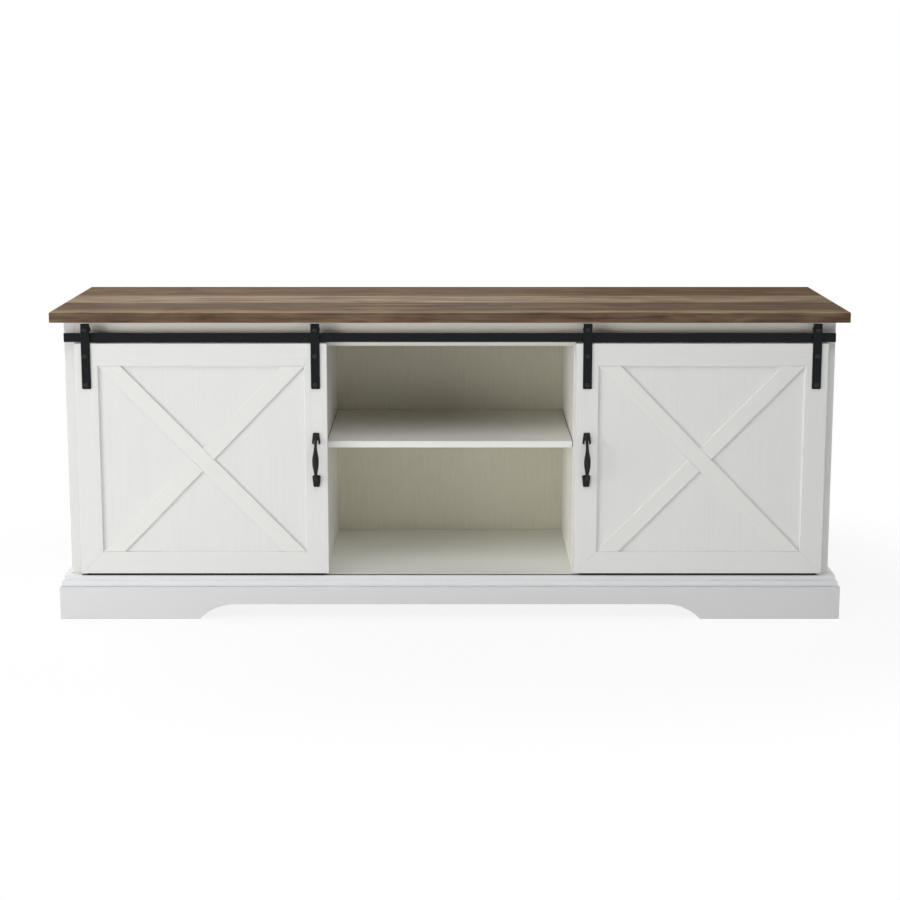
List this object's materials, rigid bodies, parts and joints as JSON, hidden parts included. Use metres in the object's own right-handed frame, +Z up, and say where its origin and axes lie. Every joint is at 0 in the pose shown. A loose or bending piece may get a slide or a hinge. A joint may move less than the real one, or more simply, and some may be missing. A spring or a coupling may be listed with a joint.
{
  "type": "tv stand with sliding doors",
  "caption": "Low wood-topped media cabinet on an arched plinth, with braced barn doors that roll along a flat steel track either side of an open shelved bay.",
  "frame": {"origin": "on the floor, at the centre of the whole object's footprint box", "axes": "+X along the length, to the right as seen from the front; +Y from the doors to the back; +Z up"},
  "size_m": [1.778, 0.4226, 0.709],
  "materials": {
    "printed wood": "brown weathered planks printed on a laminated board, satin",
    "white wash": "white-washed laminate with a faint brushed grain, low sheen",
    "back board": "thin white-faced fibreboard, matt",
    "black steel": "black powder coat, low sheen",
    "cast iron": "black painted casting, slightly rough",
    "black nylon": "black moulded nylon, matt"
  },
  "bodies": {
    "cabinet": {"top_board": "printed wood", "side_panel_left": "white wash", "side_panel_right": "white wash", "divider_left": "white wash", "divider_right": "white wash", "fascia_board": "white wash", "rear_top_rail": "white wash", "back_panel_left": "back board", "back_panel_centre": "back board", "back_panel_right": "back board", "shelf_left": "white wash", "shelf_centre": "white wash", "shelf_right": "white wash", "base_slab": "white wash", "plinth_front": "white wash", "plinth_left": "white wash", "plinth_right": "white wash", "plinth_back": "white wash", "centre_foot": "black nylon", "door_track": "black steel", "track_standoff_1": "black steel", "track_standoff_2": "black steel", "track_standoff_3": "black steel", "track_standoff_4": "black steel"},
    "left_door": {"door_left_panel": "white wash", "door_left_outer_stile": "white wash", "door_left_inner_stile": "white wash", "door_left_top_rail": "white wash", "door_left_bottom_rail": "white wash", "door_left_brace_long": "white wash", "door_left_brace_upper": "white wash", "door_left_brace_lower": "white wash", "door_left_handle": "cast iron", "door_left_outer_strap": "black steel", "door_left_inner_strap": "black steel", "door_left_outer_axle": "black steel", "door_left_inner_axle": "black steel", "door_left_guide": "black nylon"},
    "right_door": {"door_right_panel": "white wash", "door_right_outer_stile": "white wash", "door_right_inner_stile": "white wash", "door_right_top_rail": "white wash", "door_right_bottom_rail": "white wash", "door_right_brace_long": "white wash", "door_right_brace_upper": "white wash", "door_right_brace_lower": "white wash", "door_right_handle": "cast iron", "door_right_outer_strap": "black steel", "door_right_inner_strap": "black steel", "door_right_outer_axle": "black steel", "door_right_inner_axle": "black steel", "door_right_guide": "black nylon"},
    "left_outer_wheel": {"door_left_outer_wheel": "black nylon"},
    "left_inner_wheel": {"door_left_inner_wheel": "black nylon"},
    "right_outer_wheel": {"door_right_outer_wheel": "black nylon"},
    "right_inner_wheel": {"door_right_inner_wheel": "black nylon"}
  },
  "joints": [
    {"name": "left_door_slide", "type": "slide", "parent": "cabinet", "child": "left_door", "axis": [1, 0, 0], "range_m": [-0.012, 0.278]},
    {"name": "right_door_slide", "type": "slide", "parent": "cabinet", "child": "right_door", "axis": [1, 0, 0], "range_m": [-0.278, 0.005]},
    {"name": "left_outer_wheel_spin", "type": "hinge", "parent": "left_door", "child": "left_outer_wheel", "pos_m": [-0.8125, -0.17745, 0.6678], "axis": [0, 1, 0], "continuous": true},
    {"name": "left_inner_wheel_spin", "type": "hinge", "parent": "left_door", "child": "left_inner_wheel", "pos_m": [-0.3005, -0.17745, 0.6678], "axis": [0, 1, 0], "continuous": true},
    {"name": "right_outer_wheel_spin", "type": "hinge", "parent": "right_door", "child": "right_outer_wheel", "pos_m": [0.8197, -0.17745, 0.6678], "axis": [0, 1, 0], "continuous": true},
    {"name": "right_inner_wheel_spin", "type": "hinge", "parent": "right_door", "child": "right_inner_wheel", "pos_m": [0.3077, -0.17745, 0.6678], "axis": [0, 1, 0], "continuous": true}
  ],
  "couplings": [
    {"joint": "left_outer_wheel_spin", "follows": "left_door_slide", "rad_per_m": 133.33},
    {"joint": "left_inner_wheel_spin", "follows": "left_door_slide", "rad_per_m": 133.33},
    {"joint": "right_outer_wheel_spin", "follows": "right_door_slide", "rad_per_m": 133.33},
    {"joint": "right_inner_wheel_spin", "follows": "right_door_slide", "rad_per_m": 133.33}
  ]
}
